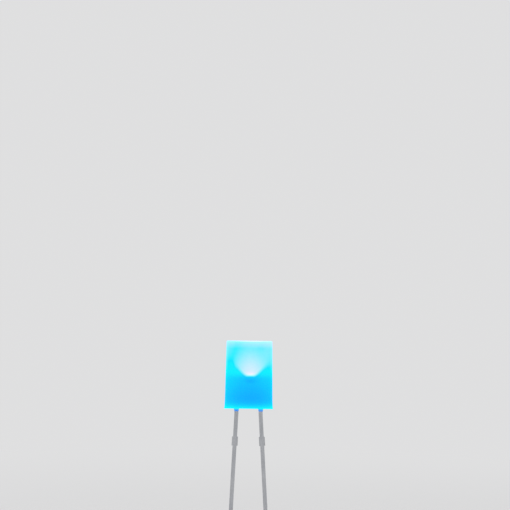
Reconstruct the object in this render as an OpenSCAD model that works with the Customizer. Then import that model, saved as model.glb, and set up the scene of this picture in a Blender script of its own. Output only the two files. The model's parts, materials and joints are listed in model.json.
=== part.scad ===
// Rectangular through-hole LED with a diffused block, 2 x 5 x 7 mm class.
// Millimetres. The origin is on the seating plane, midway between the two leads.
// +Z is the way the light leaves, X runs along the wide side, and the front looks to -Y.

/* [Block] */
// width of the block at its foot, before the flare
body_w = 5.0; // [4.8:0.1:6.0]
// depth of the block at its foot, before the flare
body_d = 2.0; // [1.8:0.1:2.6]
// height of the block above the seating plane
body_h = 7.0; // [5.5:0.1:9.0]
// draft of the four sides, in degrees, so that the block leaves its mould
draft = 0.9; // [0.5:0.1:2.0]
// radius of the four upright edges
edge_r = 0.15; // [0.12:0.01:0.30]
// radius of the edge around the top
top_r = 0.08; // [0.04:0.01:0.10]
// how far the foot flares out on each side, at the open end of the mould
flare = 0.055; // [0.02:0.005:0.10]
// height over which the foot flares
flare_h = 1.0; // [0.6:0.1:1.5]

/* [Skirts] */
// reach of the resin that wetted each lead, at the seating plane
skirt_w = 0.12; // [0.10:0.01:0.20]
// how far that resin runs down each lead
skirt_h = 0.34; // [0.20:0.02:0.44]

/* [Leads] */
// distance between the leads where they leave the block
pitch = 2.54; // [2.50:0.01:2.60]
// width of a lead, across the strip
lead_w = 0.42; // [0.36:0.01:0.50]
// thickness of the strip that both leads are stamped from
lead_t = 0.40; // [0.30:0.01:0.50]
// length of the anode below the seating plane
anode_len = 27.0; // [10:0.5:30]
// length of the cathode below the seating plane
cathode_len = 25.4; // [9:0.2:29]
// outward lean of the anode, in degrees
anode_angle = 2.5; // [0.5:0.1:5.0]
// outward lean of the cathode, in degrees
cathode_angle = 3.7; // [0.5:0.1:5.0]
// depth below the seating plane at which the leads begin to lean
bend_z = 0.5; // [0.45:0.05:1.5]
// bend radius on the middle line of a lead
bend_r = 4.0; // [2:0.5:8]
// depth of the upper edge of the cut tie bar below the seating plane
stub_z = 3.0; // [2.4:0.1:6]
// height of the cut tie bar
stub_h = 0.95; // [0.5:0.05:1.3]
// what the cropping tool left of the tie bar on each side
stub_out = 0.10; // [0.05:0.01:0.15]

/* [Cup, anvil and flag] */
// offset of the reflector cup from the middle of the block
cup_x = 0.15; // [0:0.01:0.2]
// height of the rim of the cup above the seating plane
rim_z = 3.35; // [3.1:0.05:3.8]
// depth of the cup
cup_depth = 0.35; // [0.28:0.01:0.42]
// lean of the reflecting wall from upright, in degrees
cup_angle = 33; // [25:1:36]
// width of the flat rim
rim_w = 0.12; // [0.10:0.01:0.16]
// height at which the anvil and the flag begin
anvil_z = 0.95; // [0.6:0.05:1.2]
// reach of the anvil past the middle of the cup
anvil_reach = 0.57; // [0.5:0.01:0.65]
// overhang of the anvil and the flag past the outside of their leads
shoulder = 0.12; // [0.05:0.01:0.25]
// air gap between the flag and its neighbours
flag_gap = 0.22; // [0.18:0.01:0.28]
// width of the flag at its top, where the wire is bonded
flag_w = 0.50; // [0.40:0.01:0.60]
// how far the flag stays below the rim of the cup
flag_drop = 0.05; // [0:0.01:0.15]

/* [Chip and wires] */
// side of the square chip
die_w = 0.30; // [0.24:0.01:0.34]
// height of the chip
die_h = 0.11; // [0.08:0.01:0.14]
// thickness of the adhesive under the chip
glue_t = 0.015; // [0.010:0.005:0.030]
// reach of the adhesive past the chip
glue_w = 0.04; // [0.03:0.005:0.05]
// diameter of the bond wires
wire_d = 0.025; // [0.020:0.001:0.032]
// rise of the long wire above the chip
loop_h = 0.60; // [0.50:0.02:0.80]

/* [Hidden] */
$fn = 48;

lead_x = pitch / 2;
half_w = lead_w / 2;
bend_steps = 6;

floor_z = rim_z - cup_depth;
floor_r = die_w / sqrt(2) + 1.45 * glue_w;
rim_r = floor_r + cup_depth * tan(cup_angle);
rim_out = rim_r + rim_w;
neck_r = 0.6 * lead_t;
neck_z = floor_z - 1.3 * lead_t;
stem_w = 0.75 * lead_t;

anvil_in = anvil_reach - cup_x;
anvil_out = lead_x + half_w + shoulder;
flag_in = max(anvil_in, rim_out - cup_x) + flag_gap;
flag_z = rim_z - flag_drop;

die_z = floor_z + glue_t;
die_top = die_z + die_h;
mesa = 0.07 * die_h;
pad_r = 0.13 * die_w;
pad_t = 0.036 * die_h;
p_pad_x = cup_x - 0.27 * die_w;
n_pad_x = cup_x + 0.30 * die_w;
ball_r = 0.92 * pad_r;
ball_t = 0.96 * wire_d;
foot_t = 0.24 * wire_d;
foot_len = 0.5 * rim_w;

// outline at height z: a rectangle with round corners
function round_rect(hx, hy, r, z, n, x0) = [
    for (q = [0:3], i = [0:n])
        let (a = 90 * q + 90 * i / n)
        let (sx = (q == 0 || q == 3) ? 1 : -1)
        let (sy = q < 2 ? 1 : -1)
        [x0 + sx * (hx - r) + r * cos(a), sy * (hy - r) + r * sin(a), z]
];

// solid through a stack of outlines that have the same number of points
module skin(rings) {
    n = len(rings[0]);
    m = len(rings);
    foot = [for (i = [0:n - 1]) i];
    head = [for (i = [n - 1:-1:0]) (m - 1) * n + i];
    lower = [for (k = [0:m - 2], i = [0:n - 1])
        [k * n + i, (k + 1) * n + i, (k + 1) * n + (i + 1) % n]];
    upper = [for (k = [0:m - 2], i = [0:n - 1])
        [k * n + i, (k + 1) * n + (i + 1) % n, k * n + (i + 1) % n]];
    polyhedron([for (r = rings) each r], concat([foot], lower, upper, [head]));
}

// how far the sides have come in at height z: draft, less the flare at the foot
function side_in(z) = z * tan(draft) - flare * pow(max(0, 1 - z / flare_h), 2);

function block_ring(z, inset) = round_rect(
    body_w / 2 - side_in(z) - inset, body_d / 2 - side_in(z) - inset,
    edge_r - inset, z, 5, 0);

// cast block: flared foot, drafted sides and an eased top edge
module block() {
    flared = [for (k = [0:4]) block_ring(flare_h * pow(k / 4, 1.5), 0)];
    topped = [for (a = [0:22.5:90]) block_ring(body_h - top_r * (1 - sin(a)), top_r * (1 - cos(a)))];
    skin(concat(flared, topped));
}

// resin drawn down a lead, thinning to almost nothing
module skirt(x0) {
    depth = [-0.15, 0, 0.15, 0.35, 0.6, 1.0];
    skin([for (k = [5:-1:0])
        let (t = max(0, depth[k]))
        let (w = skirt_w * (0.1 + 0.9 * pow(1 - t, 2)))
        round_rect(half_w + w, lead_t / 2 + w, w + 0.1 * half_w, -skirt_h * depth[k], 3, x0)]);
}

// corner b of an outline, eased over the length d on both of its sides
function eased(a, b, c, d) =
    let (u = (a - b) / norm(a - b), v = (c - b) / norm(c - b))
    [for (t = [0:0.25:1]) b + u * d * pow(1 - t, 2) + v * d * pow(t, 2)];

// point of a lead at distance d below the seating plane, o to the outside of its middle line
function below(d, o, lean) =
    let (run = d - bend_z - bend_r * lean * PI / 180)
    [bend_r - (bend_r - o) * cos(lean) + run * sin(lean),
     -bend_z - (bend_r - o) * sin(lean) - run * cos(lean)];

// one side of a lead from the bend down to its tip, with the stub of the tie bar
function lead_side(o, lean, length) = concat(
    [for (i = [0:bend_steps])
        let (t = lean * i / bend_steps)
        [bend_r - (bend_r - o) * cos(t), -bend_z - (bend_r - o) * sin(t)]],
    [below(stub_z, o, lean), below(stub_z + 0.06 * stub_h, o + sign(o) * stub_out, lean),
     below(stub_z + stub_h, o + sign(o) * stub_out, lean), below(stub_z + stub_h, o, lean),
     below(length, o, lean)]);

function lead_outline(lean, length) =
    let (inner = lead_side(-half_w, lean, length))
    [for (p = concat(lead_side(half_w, lean, length),
                     [for (i = [len(inner) - 1:-1:0]) inner[i]])) [lead_x + p[0], p[1]]];

// strip of metal standing on edge: an outline in X and Z, as thick as the stock
module stamped(outline) {
    rotate([90, 0, 0]) linear_extrude(lead_t, center = true) polygon(outline);
}

// cathode: lead, anvil and stem in one stamping, with the cup coined on top of the stem
module cathode_metal() {
    shoulder_low = [lead_x + half_w, anvil_z - shoulder];
    shoulder_top = [anvil_out, anvil_z];
    outer_top = [anvil_out, anvil_z + 2.0 * lead_w];
    stem_low = neck_z + lead_t / 4;
    stem_top = floor_z - 0.35 * lead_t;
    stem_out = [cup_x + stem_w, stem_low];
    stem_in = [cup_x - stem_w, stem_low];
    inner_top = [-anvil_in, neck_z - 0.38 * lead_t];
    inner_foot = [-anvil_in, anvil_z];
    crotch = [lead_x - half_w, anvil_z];
    stamped(concat(
        eased(crotch, inner_foot, inner_top, 0.3 * lead_t),
        eased(inner_foot, inner_top, stem_in, lead_t / 4),
        [stem_in, [cup_x - stem_w, stem_top], [cup_x + stem_w, stem_top], stem_out],
        eased(stem_out, outer_top, shoulder_top, lead_t / 2),
        eased(outer_top, shoulder_top, shoulder_low, shoulder / 2),
        [shoulder_low], lead_outline(cathode_angle, cathode_len), [crotch]));
    translate([cup_x, 0, 0]) rotate_extrude() polygon([
        [0, neck_z], [neck_r, neck_z], [rim_r, floor_z - lead_t / 4], [rim_out, floor_z + lead_t / 10],
        [rim_out, rim_z], [rim_r, rim_z], [floor_r, floor_z], [0, floor_z]]);
}

// anode: lead and bonding flag in one stamping, drawn on the cathode's side and mirrored
module anode_metal() {
    shoulder_low = [lead_x + half_w, anvil_z - shoulder];
    shoulder_top = [anvil_out, anvil_z];
    outer_top = [anvil_out, anvil_z + 2.2 * lead_w];
    flag_low = [flag_in + flag_w, flag_z - 1.5 * flag_w];
    flag_out = [flag_in + flag_w, flag_z];
    flag_edge = [flag_in, flag_z];
    inner_foot = [flag_in, anvil_z + lead_t / 4];
    crotch = [lead_x - half_w, anvil_z - lead_t / 4];
    lead = lead_outline(anode_angle, anode_len);
    mirror([1, 0, 0]) stamped(concat(
        [flag_edge, flag_out],
        eased(flag_out, flag_low, outer_top, lead_t / 2),
        eased(flag_low, outer_top, shoulder_top, lead_t / 2),
        eased(outer_top, shoulder_top, shoulder_low, shoulder / 2),
        [shoulder_low], lead, [crotch],
        eased(crotch, inner_foot, flag_edge, lead_t / 4)));
}

// chip: a raised mesa with one notch in it, and a round pad for each wire
module chip() {
    difference() {
        translate([cup_x - die_w / 2, -die_w / 2, die_z]) cube([die_w, die_w, die_h]);
        translate([n_pad_x - 1.3 * pad_r, -1.3 * pad_r, die_top - mesa])
            cube([die_w, 2.6 * pad_r, die_h]);
    }
    translate([p_pad_x, 0, die_top - mesa]) cylinder(r = pad_r, h = mesa + pad_t, $fn = 24);
    translate([n_pad_x, 0, die_top - 2 * mesa]) cylinder(r = pad_r, h = mesa + pad_t, $fn = 24);
}

// adhesive pressed out around the chip: widest on the floor, and a low fillet on its sides
module glue() {
    fillet = [[1, 0], [0.6, 0.67], [0.35, 1.8], [0.2, 3]];
    difference() {
        skin([for (p = fillet)
            let (out = p[0] * glue_w, half = die_w / 2 + out)
            round_rect(half, half, glue_w / 4 + out, floor_z + p[1] * glue_t, 3, cup_x)]);
        translate([cup_x - die_w / 2, -die_w / 2, die_z]) cube([die_w, die_w, die_h]);
    }
}

// point and heading on a loop with the control points c
function curve(c, t) = c[0] * pow(1 - t, 3) + c[1] * 3 * t * pow(1 - t, 2)
    + c[2] * 3 * t * t * (1 - t) + c[3] * pow(t, 3);
function slope(c, t) =
    let (v = (c[1] - c[0]) * pow(1 - t, 2) + (c[2] - c[1]) * 2 * t * (1 - t) + (c[3] - c[2]) * t * t)
    atan2(v[1], v[0]);

// eight-sided section of a wire at p, across the heading; rn in the plane of the loop, ry across it
function wire_ring(p, heading, rn, ry) = [
    for (k = [0:7])
        let (a = 45 * k + 22.5)
        [p[0] - rn * cos(a) * sin(heading), -ry * sin(a), p[1] + rn * cos(a) * cos(heading)]
];

// bond wire: a ball on the pad at p, a loop over c, and a flattened foot that runs on to the side s
module bond_wire(p, c, s) {
    r = wire_d / 2;
    turn = s > 0 ? 0 : 180;
    ball = [[0, 0.9 * ball_r], [0.25, ball_r], [0.7, 0.95 * ball_r], [1, 1.1 * r]];
    foot = c[3];
    skin(concat(
        [for (b = ball) wire_ring([p[0], p[1] + b[0] * ball_t], 90, b[1], b[1])],
        [for (t = [0.06:0.085:0.92]) wire_ring(curve(c, t), slope(c, t), r, r)],
        [for (q = [0, 1]) wire_ring(foot + [s * q * foot_len, 0], turn, foot_t, (1.5 + 0.3 * q) * r)]));
}

// from the chip over the rim of the cup to the flag
module long_wire() {
    z0 = die_top + pad_t;
    land = [-flag_in - flag_w / 4, flag_z + foot_t * cos(22.5)];
    start = [p_pad_x, z0 + ball_t];
    crest = z0 + loop_h;
    over = [start, [p_pad_x, crest], [land[0] + 0.57 * loop_h, crest], land];
    bond_wire([p_pad_x, z0], over, -1);
}

// from the chip to the rim of the cup
module short_wire() {
    z0 = die_top - mesa + pad_t;
    land = [cup_x + rim_r + rim_w / 4, rim_z + foot_t * cos(22.5)];
    start = [n_pad_x, z0 + ball_t];
    crest = rim_z + 0.43 * loop_h;
    over = [start, [n_pad_x, crest], [land[0] - 0.27 * loop_h, crest], land];
    bond_wire([n_pad_x, z0], over, 1);
}

// cast block with the skirts, hollow where the buried pieces lie
module epoxy_body() {
    color([0.45, 0.75, 1.0, 0.5])
    difference() {
        union() {
            block();
            skirt(lead_x);
            skirt(-lead_x);
        }
        cathode_metal();
        anode_metal();
        glue();
        chip();
        long_wire();
        short_wire();
    }
}

module cathode_lead() { color([0.72, 0.73, 0.74]) cathode_metal(); }
module anode_lead() { color([0.72, 0.73, 0.74]) anode_metal(); }
module led_die() { color([0.55, 0.70, 0.80]) chip(); }
module die_attach() { color([0.85, 0.85, 0.80]) glue(); }
module anode_bond_wire() { color([0.95, 0.75, 0.30]) long_wire(); }
module cathode_bond_wire() { color([0.95, 0.75, 0.30]) short_wire(); }

epoxy_body();
cathode_lead();
anode_lead();
led_die();
die_attach();
anode_bond_wire();
cathode_bond_wire();
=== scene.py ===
import json
import math

import bmesh
import bpy
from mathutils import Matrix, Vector


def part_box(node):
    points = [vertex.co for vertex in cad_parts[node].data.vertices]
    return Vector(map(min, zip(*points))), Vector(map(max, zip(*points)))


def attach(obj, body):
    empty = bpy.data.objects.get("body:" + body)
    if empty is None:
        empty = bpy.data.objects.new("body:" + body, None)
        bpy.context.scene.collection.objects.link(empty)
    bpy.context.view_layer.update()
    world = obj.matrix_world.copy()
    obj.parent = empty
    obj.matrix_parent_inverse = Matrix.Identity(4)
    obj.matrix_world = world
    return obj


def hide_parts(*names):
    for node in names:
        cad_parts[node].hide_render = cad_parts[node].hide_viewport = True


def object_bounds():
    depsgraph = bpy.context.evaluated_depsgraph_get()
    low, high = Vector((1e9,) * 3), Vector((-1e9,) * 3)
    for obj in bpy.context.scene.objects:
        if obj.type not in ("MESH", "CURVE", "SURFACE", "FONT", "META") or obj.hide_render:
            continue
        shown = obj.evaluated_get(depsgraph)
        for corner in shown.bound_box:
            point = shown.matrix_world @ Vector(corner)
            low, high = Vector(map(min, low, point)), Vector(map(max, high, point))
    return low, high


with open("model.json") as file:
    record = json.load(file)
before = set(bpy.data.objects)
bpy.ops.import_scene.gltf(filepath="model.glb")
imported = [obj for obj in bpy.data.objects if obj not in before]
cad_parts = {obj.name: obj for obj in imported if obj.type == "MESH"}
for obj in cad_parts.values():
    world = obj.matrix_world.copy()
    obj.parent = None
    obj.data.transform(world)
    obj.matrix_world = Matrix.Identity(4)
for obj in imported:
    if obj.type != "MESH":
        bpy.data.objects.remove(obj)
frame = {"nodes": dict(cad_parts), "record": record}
cad_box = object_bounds()

# Cathode lead, with the coined cup that holds the chip.
# Stamped from steel strip, then plated with tin; its upper end is cast into the block.
# The tie bar was cropped 3 mm below the block and the tip was sheared, so bare steel shows there.
mm = 0.001  # the scene is in metres, and the sizes below are in millimetres
mounts = {mount["name"]: mount for mount in frame["record"]["mounts"]}
pitch = mounts["board_leads"]["dims"]["spacing_x_mm"]
lead_w = 0.42
bend_z = 0.5
bend_r = 4.0
stub_z = 3.0
stub_out = 0.10
tip_h = 1.0
cathode_lean = math.radians(3.7)
plated_edge = 0.022
rolled_share = 0.55
stamped_share = 0.35
matt_rough = (0.20, 0.40)
cut_rough = 0.12
dull_tin = (0.40, 0.41, 0.43)
bright_tin = (0.62, 0.63, 0.65)
rolled_tin = (0.24, 0.25, 0.27)
stamped_tin = (0.26, 0.265, 0.28)
dark_steel = (0.20, 0.185, 0.175)
torn_steel = (0.40, 0.38, 0.36)


class Varying:
    """A number, place or colour that varies over a surface; each sum with it becomes a shader node."""

    def __init__(self, socket):
        self.socket = socket

    def __add__(self, other):
        return worked_out("ADD", self, other)

    def __sub__(self, other):
        return worked_out("SUBTRACT", self, other)

    def __rsub__(self, other):
        return worked_out("SUBTRACT", other, self)

    def __mul__(self, other):
        return worked_out("MULTIPLY", self, other)

    def __truediv__(self, other):
        return worked_out("DIVIDE", self, other)

    def __pow__(self, other):
        return worked_out("POWER", self, other)

    def __neg__(self):
        return worked_out("MULTIPLY", self, -1.0)

    def __abs__(self):
        return worked_out("ABSOLUTE", self)

    __radd__ = __add__
    __rmul__ = __mul__


def put(value, socket):
    """Sets a plain value on the socket, or links one that varies to it."""
    if isinstance(value, Varying):
        socket.id_data.links.new(value.socket, socket)
    else:
        socket.default_value = value


def worked_out(operation, *values):
    """One step of a sum, in the tree of whichever of its values varies."""
    tree = next(value.socket.id_data for value in values if isinstance(value, Varying))
    node = tree.nodes.new("ShaderNodeMath")
    node.operation = operation
    for value, socket in zip(values, node.inputs):
        put(value, socket)
    return Varying(node.outputs[0])


def larger(first, second):
    return worked_out("MAXIMUM", first, second)


def below(value, limit):
    return worked_out("LESS_THAN", value, limit)


def step_up(value, low, high):
    """0 below low, 1 above high, and an even S between them."""
    node = value.socket.id_data.nodes.new("ShaderNodeMapRange")
    node.interpolation_type = "SMOOTHSTEP"
    put(value, node.inputs["Value"])
    put(low, node.inputs["From Min"])
    put(high, node.inputs["From Max"])
    return Varying(node.outputs["Result"])


def spread(value, low, high):
    """A value from 0 to 1 brought to low to high."""
    return low + (high - low) * value


def parts_of(vector):
    """The X, Y and Z parts of a place or a direction."""
    node = vector.socket.id_data.nodes.new("ShaderNodeSeparateXYZ")
    put(vector, node.inputs[0])
    return [Varying(part) for part in node.outputs]


def grain(place, per_mm, packing=(1.0, 1.0, 1.0), detail=3.0):
    """Noise with that many grains to the millimetre, times the factor for each axis in packing."""
    tree = place.socket.id_data
    packed = tree.nodes.new("ShaderNodeVectorMath")
    packed.operation = "MULTIPLY"
    put(place, packed.inputs[0])
    put(packing, packed.inputs[1])
    noise = tree.nodes.new("ShaderNodeTexNoise")
    put(Varying(packed.outputs[0]), noise.inputs["Vector"])
    put(per_mm, noise.inputs["Scale"])
    put(detail, noise.inputs["Detail"])
    put(0.55, noise.inputs["Roughness"])
    return Varying(noise.outputs[0])


def between(factor, first, second):
    """A colour that goes from first to second with the factor."""
    node = factor.socket.id_data.nodes.new("ShaderNodeMix")
    node.data_type = "RGBA"
    put(factor, node.inputs[0])
    for colour, socket in ((first, node.inputs[6]), (second, node.inputs[7])):
        put(colour if isinstance(colour, Varying) else (*colour, 1), socket)
    return Varying(node.outputs[2])


def bumped(shader, height, depth, strength=1.0):
    """Shades the surface as if it rose by the height, from 0 to 1, times the depth in millimetres."""
    node = shader.id_data.nodes.new("ShaderNodeBump")
    put(height, node.inputs["Height"])
    put(depth * mm, node.inputs["Distance"])
    put(strength, node.inputs["Strength"])
    put(Varying(node.outputs[0]), shader.inputs["Normal"])


def finish_of(name):
    """A new material, its shader, and the place on the piece in millimetres."""
    material = bpy.data.materials.new(name)
    material.use_nodes = True
    nodes = material.node_tree.nodes
    scaled = nodes.new("ShaderNodeVectorMath")
    scaled.operation = "SCALE"
    put(Varying(nodes.new("ShaderNodeTexCoord").outputs["Object"]), scaled.inputs[0])
    put(1 / mm, scaled.inputs["Scale"])
    return material, nodes["Principled BSDF"], Varying(scaled.outputs[0])


def facing_of(shader):
    """The X, Y and Z parts of the way that the surface faces."""
    return parts_of(Varying(shader.id_data.nodes.new("ShaderNodeTexCoord").outputs["Normal"]))


def tinned_steel(name, lean, tip_z):
    """Satin tin with the strip's rolling lines along it, and bare steel where the lead was cut."""
    material, shader, place = finish_of(name)
    x, _, z = parts_of(place)
    to_edge, _, to_top = facing_of(shader)
    rolled = grain(place, per_mm=2.2, packing=(9.0, 9.0, 0.35))
    matt = grain(place, per_mm=14.0, detail=4.0)
    cloud = grain(place, per_mm=1.1, packing=(1.0, 1.0, 0.4), detail=2.0)
    torn = grain(place, per_mm=3.0, packing=(6.0, 6.0, 2.0))

    # the cut ends of the tie bar lie furthest from the lead's leaning middle line, and the tip faces down
    middle = pitch / 2 - math.tan(lean) * (z + bend_z + bend_r * lean / 2)
    cut_end = lead_w / 2 + stub_out
    off_middle = abs(abs(x) - middle)
    cropped = step_up(off_middle, cut_end - 0.8 * plated_edge, cut_end - 0.2 * plated_edge)
    cropped = cropped * below(z, -stub_z / 2)
    sheared = step_up(-to_top, 0.6, 0.9) * below(z, tip_z + tip_h)
    bare = larger(cropped, sheared)
    stamped = step_up(abs(to_edge), 0.5, 0.9)

    tin = between(cloud, dull_tin, bright_tin)
    tin = between(rolled_share * rolled, tin, rolled_tin)
    tin = between(stamped_share * stamped, tin, stamped_tin)
    put(between(bare, tin, between(torn, dark_steel, torn_steel)), shader.inputs["Base Color"])
    put(1.0, shader.inputs["Metallic"])
    put(spread(matt, *matt_rough) + cut_rough * larger(bare, stamped), shader.inputs["Roughness"])
    bumped(shader, rolled + 0.5 * matt, depth=0.006)
    return material


def ease_edges(piece, width):
    """The small round that stamping and plating leave on each edge, once the faces share their corners."""
    joined = piece.modifiers.new("corners", "WELD")
    joined.merge_threshold = 0.001 * mm
    bevel = piece.modifiers.new("edges", "BEVEL")
    bevel.width = width * mm
    bevel.segments = 2
    bevel.limit_method = "ANGLE"
    bevel.angle_limit = math.radians(40)
    bevel.harden_normals = True


def dress_lead(name, finish, lean):
    """Gives a lead its plating and its eased edges."""
    lead = frame["nodes"][name]
    tip_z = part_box(name)[0].z / mm
    lead.material_slots[0].material = tinned_steel(finish, lean, tip_z)
    ease_edges(lead, plated_edge)


dress_lead("cathode_lead", "tinned_cathode", cathode_lean)

# Anode lead, with the flag that takes the long bond wire.
# The same tinned strip; it stands beside the cup and never touches the cathode.
# It is left longer than the cathode, so that the two can be told apart.
anode_lean = math.radians(2.5)
dress_lead("anode_lead", "tinned_anode", anode_lean)

# Drop of adhesive under the chip.
# Clear resin with a milky filler, put down as a dot and cured in an oven.
# It is pressed out around the chip in a low fillet on the floor of the cup.
clear_drop = (0.66, 0.70, 0.72)
milky_drop = (0.86, 0.87, 0.84)
cured, shader, place = finish_of("cured_drop")
filler = grain(place, per_mm=30.0)
put(between(filler, clear_drop, milky_drop), shader.inputs["Base Color"])
put(spread(filler, 0.30, 0.55), shader.inputs["Roughness"])
bumped(shader, filler, depth=0.002)
frame["nodes"]["die_attach"].material_slots[0].material = cured

# Chip: a thin layer of blue-emitting crystal on a clear sapphire base, sawn square.
# The raised mesa glows; a notch in it bares the lower layer for one of the two gold pads.
# It sits in the middle of the cup, on its drop of adhesive.
chip_low, chip_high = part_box("led_die")
cup_x = (chip_low.x + chip_high.x) / 2 / mm
chip_w = (chip_high.x - chip_low.x) / mm
chip_top = chip_high.z / mm
pad_r = 0.13 * chip_w
pad_h = 0.016
glow_h = 0.094
pads_x = (cup_x - 0.27 * chip_w, cup_x + 0.30 * chip_w)
pad_gold = (0.90, 0.66, 0.25)
deep_crystal = (0.34, 0.52, 0.66)
pale_crystal = (0.52, 0.70, 0.82)
side_glow = (0.05, 0.30, 0.70)
mesa_glow = (0.55, 0.85, 1.0)
lit, shader, place = finish_of("lit_crystal")
x, y, z = parts_of(place)
speckle = grain(place, per_mm=40.0)
on_pad = 0.0
for pad_x in pads_x:
    from_pad = ((x - pad_x) ** 2.0 + y ** 2.0) ** 0.5
    on_pad = larger(on_pad, 1 - step_up(from_pad, pad_r, 1.08 * pad_r))
on_pad = on_pad * step_up(z, chip_top - pad_h, chip_top - 0.75 * pad_h)
put(between(on_pad, between(speckle, deep_crystal, pale_crystal), pad_gold), shader.inputs["Base Color"])
put(spread(speckle, 0.10, 0.24), shader.inputs["Roughness"])
put(on_pad, shader.inputs["Metallic"])
on_mesa = (1 - on_pad) * step_up(z, chip_top - glow_h, chip_top - 0.15 * glow_h)
put(between(on_mesa, side_glow, mesa_glow), shader.inputs["Emission Color"])
put(6.0, shader.inputs["Emission Strength"])
frame["nodes"]["led_die"].material_slots[0].material = lit

# Two bond wires of drawn gold, 25 micrometres thick.
# Each starts in a ball welded to a pad of the chip and ends in a flattened foot.
# The long one lands on the anode's flag and the short one on the rim of the cup.
red_gold = (0.86, 0.58, 0.20)
pale_gold = (1.0, 0.78, 0.36)
gold, shader, place = finish_of("drawn_gold")
drawn = grain(place, per_mm=60.0)
put(between(drawn, red_gold, pale_gold), shader.inputs["Base Color"])
put(1.0, shader.inputs["Metallic"])
put(spread(drawn, 0.16, 0.34), shader.inputs["Roughness"])
for wire in ("anode_bond_wire", "cathode_bond_wire"):
    frame["nodes"][wire].material_slots[0].material = gold

# Cast block of blue-tinted epoxy with a diffuser in it; its glow from the chip inside is painted on its
# surface as emission.
# It is poured into an open mould around the finished lead frame: the sides have draft, the foot flares
# where the mould was open, and a skirt of resin has crept down each lead.
draft = math.radians(0.9)
edge_r = 0.15
top_r = 0.08
flare = 0.055
flare_h = 1.0
skirt_w = 0.12
skirt_end = 0.1
least_r = 0.02
block_low, block_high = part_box("epoxy_body")
half_w = block_high.x / mm - flare
half_d = block_high.y / mm - flare
body_h = block_high.z / mm
skirt_h = -block_low.z / mm
lead_t = 2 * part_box("anode_lead")[1].y / mm


def outline(half_x, half_y, radius, z, x0=0.0, corner=8, wide=1, narrow=1):
    """Points round a rectangle with round corners; corner, wide and narrow are the steps along each."""
    arcs = []
    for quarter, (sx, sy) in enumerate(((1, 1), (-1, 1), (-1, -1), (1, -1))):
        middle = Vector((x0 + sx * (half_x - radius), sy * (half_y - radius), z))
        turns = [math.radians(90 * (quarter + i / corner)) for i in range(corner + 1)]
        arcs.append([middle + radius * Vector((math.cos(a), math.sin(a), 0.0)) for a in turns])
    points = []
    for arc, following, steps in zip(arcs, arcs[1:] + arcs[:1], (wide, narrow, wide, narrow)):
        points += arc
        points += [arc[-1].lerp(following[0], i / steps) for i in range(1, steps)]
    return points


def block_outline(z, inset=0.0):
    """The block's outline at height z: come in by the draft, gone out by the flare."""
    come_in = inset + z * math.tan(draft) - flare * max(0.0, 1 - z / flare_h) ** 2
    corner_r = max(edge_r - inset, least_r)
    return outline(half_w - come_in, half_d - come_in, corner_r, z, wide=20, narrow=8)


def skirt_outline(side, share):
    """A skirt's outline at a share of its way down the lead, where it has thinned out."""
    out = skirt_w * spread((1 - share) ** 2, skirt_end, 1.0)
    half_x = lead_w / 2 + out
    half_y = lead_t / 2 + out
    return outline(half_x, half_y, out + least_r, -skirt_h * share, x0=side * pitch / 2, corner=6)


def loft(mesh, rings):
    """Faces between rings that have the same number of points; returns the rings as vertices."""
    rows = [[mesh.verts.new(point * mm) for point in ring] for ring in rings]
    for low, high in zip(rows, rows[1:]):
        for i in range(len(low)):
            j = (i + 1) % len(low)
            mesh.faces.new((low[i], low[j], high[j], high[i]))
    return rows


def edges_round(mesh, row):
    return [mesh.edges.get((row[i], row[i - 1])) for i in range(len(row))]


def piece_of(mesh, name, finish):
    """The finished mesh as an object in the scene."""
    data = bpy.data.meshes.new(name)
    mesh.to_mesh(data)
    mesh.free()
    data.materials.append(finish)
    piece = bpy.data.objects.new(name, data)
    bpy.context.scene.collection.objects.link(piece)
    return piece


cast = bmesh.new()
flare_steps = 8
side_steps = 24
round_steps = 8
flat_in = 1.6 * top_r
flared = [flare_h * (k / flare_steps) ** 1.5 for k in range(flare_steps + 1)]
side_h = body_h - top_r - flare_h
upright = [flare_h + side_h * k / side_steps for k in range(1, side_steps + 1)]
rings = [block_outline(z) for z in flared + upright]
for k in range(1, round_steps + 1):
    a = math.radians(90 * k / round_steps)
    rings.append(block_outline(body_h - top_r * (1 - math.sin(a)), top_r * (1 - math.cos(a))))
rings.append(block_outline(body_h, flat_in))
rows = loft(cast, rings)
cast.faces.new(rows[-1])
foot_edges = edges_round(cast, rows[0])
skirt_shares = (1.0, 0.8, 0.6, 0.45, 0.32, 0.2, 0.1, 0.0)
for side in (-1, 1):
    rows = loft(cast, [skirt_outline(side, share) for share in skirt_shares])
    cast.faces.new(list(reversed(rows[0])))
    foot_edges += edges_round(cast, rows[-1])
bmesh.ops.triangle_fill(cast, use_beauty=True, use_dissolve=False, edges=foot_edges)
bmesh.ops.recalc_face_normals(cast, faces=cast.faces)


def faded(value):
    """1 at 0, falling off as the value grows."""
    return worked_out("EXPONENT", -value)


def bell(value, width):
    """1 where the value is 0, falling off to both sides over the width."""
    share = value / width
    return faded(share * share)


# painted light and painted shade: the block's glow, its beam, bright lines and lip, and the shadows of the
# flag, the cup's rim and the anvil are all set by place on the surface
# aside is how far a point lies from the cup along the face that shows it, and above how far over its rim
rim_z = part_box("cathode_lead")[1].z / mm
epoxy, shader, place = finish_of("lit_epoxy")
x, y, z = parts_of(place)
to_right, to_back, to_top = facing_of(shader)
on_wide = abs(to_back)
on_narrow = abs(to_right)
on_top = larger(to_top, 0.0) ** 4.0
on_foot = larger(-to_top, 0.0) ** 4.0
from_cup = x - cup_x
aside_squared = from_cup * from_cup * on_wide + y * y * on_narrow
aside = aside_squared ** 0.5
above = z - rim_z

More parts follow.
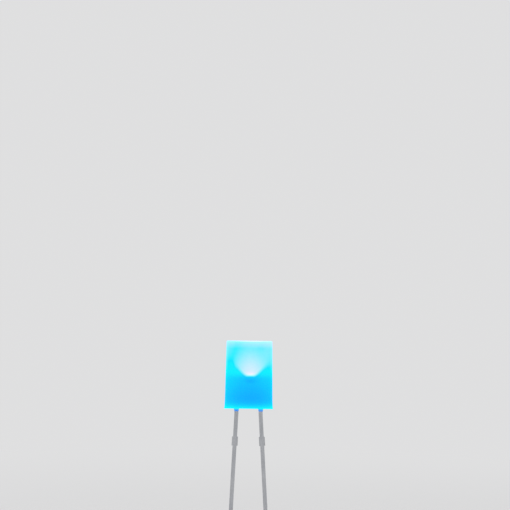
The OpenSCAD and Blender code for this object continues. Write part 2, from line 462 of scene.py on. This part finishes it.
# the beam leaves the cup as a bowl: flat over the cup, then rising at half a right angle to both sides,
# with its edge lifted over the anode's flag, blurred more the further out, and lined by a lip of light
bowl_low = 0.04
bowl_rise = 1.10
bowl_wall = (0.28, 1.95)
flag_wall = (1.55, 1.95)
flag_rise = 0.55
half_up = 0.08  # the light is half on this far over the bowl
half_rise = 0.04
halo_out = 0.10  # green comes on this far below red
blur_least = 0.24
blur_aside = 0.42
blur_narrow = 0.55
lip_w = 0.95
lip_h = 0.15
bowl = bowl_low + bowl_rise * step_up(aside, *bowl_wall)
bowl = bowl + flag_rise * step_up(-from_cup, *flag_wall) * on_wide
past_bowl = above - bowl
past_half = past_bowl - half_up - half_rise * aside
blur = blur_least + blur_aside * aside + blur_narrow * on_narrow
in_beam = step_up(past_half / blur, -0.5, 0.5)
halo = step_up((past_half + halo_out) / blur, -0.5, 0.5)
lip = bell(past_bowl - half_up, lip_h) * bell(aside, lip_w) * on_wide

# paler lines show where the light runs out, at the round upright edges and along the top
line_w = 0.30
line_in = 0.05
come_in = math.tan(draft) * z
line_x = step_up(abs(x) + come_in, half_w - line_w, half_w - line_in)
line_y = step_up(abs(y) + come_in, half_d - line_w, half_d - line_in)
edge_line = line_x * line_y
top_line = step_up(z, body_h - line_w, body_h - top_r)

# red whitens the blue: most in the cup, less upwards and to the sides, and little in the flag's shadow
beam_h = 2.55
beam_left = 1.60
beam_right = 1.80
beam_red = 0.69
narrow_red = 0.34
beam_w = spread(step_up(from_cup, -0.6, 0.6), beam_left, beam_right)
beam = bell(above, beam_h) * bell(aside, beam_w) * in_beam
shoulder_up = (1.2, 2.9)
shoulder_out = (0.9, 1.9)
shoulder_red = 0.13
shoulders = step_up(above, *shoulder_up) * step_up(aside, *shoulder_out)
flag_up = 1.5
flag_out = 2.08
flag_slope = 0.34
flag_shadow_w = 0.50
flag_loss = 0.75
flag_line = flag_slope * (above - flag_up) - flag_out
flag_shadow = bell(from_cup - flag_line, flag_shadow_w) * on_wide
cup_up = 0.30
cup_w = 0.50
cup_h = 0.21
cup_red = 0.22
cup_narrow = 0.2
cup_glow = bell(aside, cup_w) * bell(above - cup_up, cup_h) * spread(on_narrow, 1.0, cup_narrow)
top_w = 1.5
top_d = 0.9
top_red = 0.36
top_glow = bell(from_cup, top_w) * bell(y, top_d) * on_top
band_from = 0.80
band_full = 0.20
band_left = 0.16
band_right = 0.22
band_middle = 0.07
top_band = step_up(z, body_h - band_from, body_h - band_full)
band_red = spread(step_up(from_cup, 0.0, 0.8), band_left, band_right)
band_red = band_red + band_middle * bell(from_cup, top_w)
edge_up = (0.2, 1.4)
edge_low = 0.012
edge_high = 0.07
edge_red = spread(step_up(above, *edge_up), edge_low, edge_high)
line_red = 0.04
red = beam * spread(on_narrow, beam_red, narrow_red) + shoulder_red * shoulders
red = red * (1 - flag_loss * flag_shadow) + cup_red * cup_glow + top_red * top_glow
red = red + top_band * band_red + line_red * top_line + edge_line * edge_red

# green is full in the beam and in the wings beside the cup, lowest at the anvil, and up again at the foot
foot_h = 0.38
foot_green = 0.62
foot_light = faded((larger(z, 0.0) / foot_h) ** 1.2)
anvil_down = 0.45
anvil_w = 0.60
anvil_h = 0.22
anvil_loss = 0.09
anvil_shadow = bell(aside, anvil_w) * bell(above + anvil_down, anvil_h)
shade_z = 1.28
shade_green = 0.429
shade_up = 0.072
shade_out = 0.022
shade = shade_green + shade_up * (z - shade_z) + shade_out * aside_squared
shade = shade + foot_green * foot_light - anvil_loss * anvil_shadow
wing_up = (-0.30, 0.50)
wing_out = (0.35, 1.2)
wings = step_up(above, *wing_up) * step_up(aside, *wing_out)
full = larger(wings, halo)
rim_out = (0.9, 1.3)
rim_h = 0.16
rim_loss = 0.06
rim_shadow = bell(past_bowl + half_up, rim_h) * step_up(aside, *rim_out)
full_green = 0.84
line_green = 0.09
lip_green = 0.14
green = shade * (1 - full) + full_green * full
green = green + line_green * larger(edge_line, top_line) + lip_green * lip - rim_loss * rim_shadow

# painted shade: the foot itself is less bright than the sides that run out into it, and darkest beside the
# leads
foot_shade_w = 0.75
foot_shade_d = 0.65
foot_shade_loss = (0.16, 0.42)
by_leads = bell(abs(x) - pitch / 2, foot_shade_w) * bell(y, foot_shade_d)
green = green - on_foot * spread(by_leads, *foot_shade_loss)

# the skirts under the foot get less light the further they creep down
skirt_lit = (-0.27, 0.03)
skirt_green = 0.14
skirt_blue = 0.4
reached = step_up(z, *skirt_lit)
green = green * spread(reached, skirt_green, 1.0)
blue = spread(reached, skirt_blue, 1.0)

# the red and green of the room that the block gives back are taken off, so that the sum is the lit colour
room_red = 0.012
room_green = 0.10
haze = grain(place, per_mm=5.0, detail=4.0)
cloudy = spread(haze, 0.96, 1.04)
light = epoxy.node_tree.nodes.new("ShaderNodeCombineColor")
put(larger(red * cloudy - room_red, 0.0), light.inputs["Red"])
put(larger(green * cloudy - room_green, 0.0), light.inputs["Green"])
put(blue * cloudy, light.inputs["Blue"])
put(Varying(light.outputs[0]), shader.inputs["Emission Color"])
put(1.0, shader.inputs["Emission Strength"])

# the resin itself: deep blue, paler where it is thin on the leads, with the slight waves of a cast face
deep_blue = (0.0, 0.07, 0.28)
hazy_blue = (0.001, 0.10, 0.36)
thin_blue = (0.14, 0.36, 0.56)
put(between(reached, thin_blue, between(haze, deep_blue, hazy_blue)), shader.inputs["Base Color"])
put(spread(haze, 0.26, 0.42), shader.inputs["Roughness"])
put(1.53, shader.inputs["IOR"])
put(0.06, shader.inputs["Specular IOR Level"])
put(0.12, shader.inputs["Transmission Weight"])
bumped(shader, grain(place, per_mm=1.4, detail=2.0), depth=0.02, strength=0.6)

block = piece_of(cast, "cast_block", epoxy)
block.data.shade_smooth()
block.data.set_sharp_from_angle(angle=math.radians(50))
even = block.modifiers.new("even_shading", "WEIGHTED_NORMAL")
even.keep_sharp = True
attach(block, "root")
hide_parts("epoxy_body")

# Studio: a round pale floor under the lead tips, in a room of the same pale colour.
# A large soft lamp stands to the upper left and a weaker one to the right; the room's own light is even.
# Far from the LED the floor takes on the room's colour, so no horizon shows behind it.
room_pale = (0.74, 0.74, 0.745)
paper_pale = (0.78, 0.78, 0.785)
room_light = 0.42
floor_z = cad_box[0][2] / mm
floor_rings = (1500, 800, 400, 150, 50)
floor_end = (30.0, 200.0)


def floor_ring(radius):
    turns = [math.radians(a) for a in range(0, 360, 6)]
    return [Vector((radius * math.cos(a), radius * math.sin(a), floor_z)) for a in turns]


def seen_or_mirrored(tree):
    """1 for what is looked at straight, in a mirror or through glass, and 0 for light."""
    path = tree.nodes.new("ShaderNodeLightPath")
    seen = Varying(path.outputs["Is Camera Ray"])
    mirrored = Varying(path.outputs["Is Glossy Ray"])
    through = Varying(path.outputs["Is Transmission Ray"])
    return larger(seen, larger(mirrored, through))


def mixed(factor, first, second):
    """A shader that goes from first to second with the factor."""
    node = first.id_data.nodes.new("ShaderNodeMixShader")
    put(factor, node.inputs[0])
    put(Varying(first.outputs[0]), node.inputs[1])
    put(Varying(second.outputs[0]), node.inputs[2])
    return Varying(node.outputs[0])


paper, shader, place = finish_of("pale_paper")
tree = paper.node_tree
x, y, _ = parts_of(place)
put(between(grain(place, per_mm=0.6), room_pale, paper_pale), shader.inputs["Base Color"])
put(0.9, shader.inputs["Roughness"])
put(0.2, shader.inputs["Specular IOR Level"])
far = tree.nodes.new("ShaderNodeEmission")
put((*room_pale, 1), far.inputs["Color"])
run_out = step_up((x * x + y * y) ** 0.5, *floor_end) * seen_or_mirrored(tree)
put(mixed(run_out, shader, far), tree.nodes["Material Output"].inputs["Surface"])
disc = bmesh.new()
rows = loft(disc, [floor_ring(radius) for radius in floor_rings])
disc.faces.new(rows[-1])
piece_of(disc, "pale_floor", paper)

for name, spot, size, watts in (("key_lamp", Vector((-450, -500, 550)), 800, 6.4),
                                ("fill_lamp", Vector((600, -600, 350)), 900, 3.0)):
    lamp = bpy.data.lights.new(name, "AREA")
    lamp.size = size * mm
    lamp.energy = watts
    holder = bpy.data.objects.new(name, lamp)
    holder.location = spot * mm
    holder.rotation_euler = (-spot).to_track_quat("-Z", "Y").to_euler()
    bpy.context.scene.collection.objects.link(holder)

room = bpy.data.worlds.new("pale_room")
room.use_nodes = True
tree = room.node_tree
lighting = tree.nodes["Background"]
put((1, 1, 1, 1), lighting.inputs["Color"])
put(room_light, lighting.inputs["Strength"])
looked_at = tree.nodes.new("ShaderNodeBackground")
put((*room_pale, 1), looked_at.inputs["Color"])
put(mixed(seen_or_mirrored(tree), lighting, looked_at), tree.nodes["World Output"].inputs["Surface"])
bpy.context.scene.world = room

# Camera: level, 180 mm in front of the block and above it, so that the block sits low in a square frame.
# The frame is 53.2 mm wide at the block's front, and it is turned by the small lean of the block.
stand_off = 180.0
framed = 53.2
lens_up = 16.05
lens_right = 0.45
turned = math.radians(-0.8)
camera = bpy.data.cameras.new("camera")
camera.sensor_width = 36.0
camera.lens = camera.sensor_width * (stand_off - half_d) / framed
camera.clip_start = 0.01
camera.clip_end = 10.0
eye = bpy.data.objects.new("camera", camera)
eye.location = mm * Vector((lens_right, -stand_off, lens_up))
eye.rotation_euler = (math.radians(90), turned, 0.0)
bpy.context.scene.collection.objects.link(eye)
bpy.context.scene.camera = eye

bpy.context.scene.view_settings.view_transform = "Standard"
